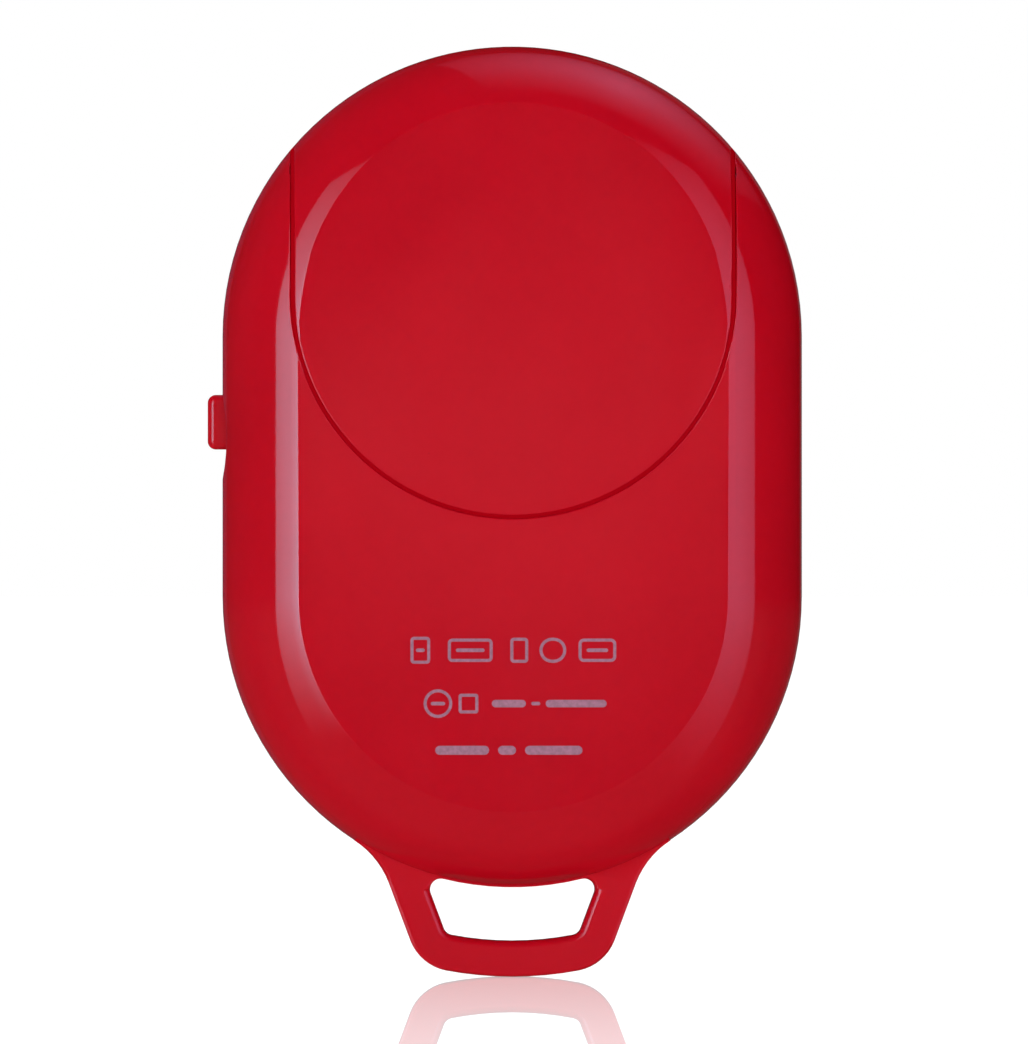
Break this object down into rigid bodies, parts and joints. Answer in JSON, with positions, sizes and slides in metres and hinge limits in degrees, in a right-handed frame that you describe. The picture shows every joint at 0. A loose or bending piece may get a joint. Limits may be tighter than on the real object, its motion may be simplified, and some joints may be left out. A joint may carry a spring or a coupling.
{
  "type": "bluetooth camera shutter remote",
  "caption": "Pocket wireless shutter remote with round finger keys, a side power switch, a slide-off battery door and a lanyard loop.",
  "frame": {"origin": "bottom centre: the lowest edge of the lanyard loop, on the seam plane between the two covers", "axes": "+Z along the remote from the loop to the domed end, +Y out of the face with the keys, -Y out of the battery door"},
  "size_m": [0.0332, 0.012, 0.052],
  "materials": {
    "case_red": "glossy moulded",
    "key_red": "satin moulded",
    "cell_steel": "nickel plated",
    "sheet_steel": "stamped",
    "contact_brass": "gold flashed",
    "solder_tin": "tinned",
    "board_green": "solder mask over glass fibre",
    "resin_black": "moulded resin",
    "resin_grey": "moulded resin",
    "resin_ivory": "moulded resin",
    "gasket_black": "nylon",
    "cathode_grey": "pressed powder",
    "anode_grey": "soft metal",
    "separator_white": "felt",
    "capacitor_tan": "ceramic",
    "lens_clear": "clear"
  },
  "bodies": {
    "case": {"rear_cover": "case_red", "front_cover": "case_red", "battery_can": "cell_steel", "battery_cap": "cell_steel", "battery_gasket": "gasket_black", "battery_cathode": "cathode_grey", "battery_separator": "separator_white", "battery_anode": "anode_grey", "positive_contact": "contact_brass", "negative_contact": "contact_brass", "circuit_board": "board_green", "board_screws": "solder_tin", "antenna_track": "contact_brass", "main_tact_base": "resin_black", "main_tact_dome": "sheet_steel", "main_tact_cover": "sheet_steel", "main_tact_terminals": "solder_tin", "second_tact_base": "resin_black", "second_tact_dome": "sheet_steel", "second_tact_cover": "sheet_steel", "second_tact_terminals": "solder_tin", "power_switch_base": "resin_black", "power_switch_case": "sheet_steel", "power_switch_terminals": "solder_tin", "radio_chip": "resin_black", "memory_chip": "resin_black", "crystal": "solder_tin", "resistors": "resin_black", "capacitors": "capacitor_tan", "status_led": "resin_ivory", "led_lens": "lens_clear"},
    "door": {"battery_door": "case_red"},
    "power_knob": {"power_switch_knob": "case_red", "power_switch_slider": "resin_ivory", "power_switch_wiper": "contact_brass"},
    "main_button": {"main_key": "key_red", "main_tact_plunger": "resin_grey"},
    "second_button": {"second_key": "key_red", "second_tact_plunger": "resin_grey"}
  },
  "joints": [
    {"name": "door_slide", "type": "slide", "parent": "case", "child": "door", "axis": [0, 0, 1], "range_m": [0, 0.027]},
    {"name": "power_switch_slide", "type": "slide", "parent": "case", "child": "power_knob", "axis": [0, 0, -1], "range_m": [0, 0.0018]},
    {"name": "main_key_press", "type": "slide", "parent": "case", "child": "main_button", "axis": [0, -1, 0], "range_m": [0, 0.00025], "stiffness_N_per_m": 3000},
    {"name": "second_key_press", "type": "slide", "parent": "case", "child": "second_button", "axis": [0, -1, 0], "range_m": [0, 0.00025], "stiffness_N_per_m": 3000}
  ]
}
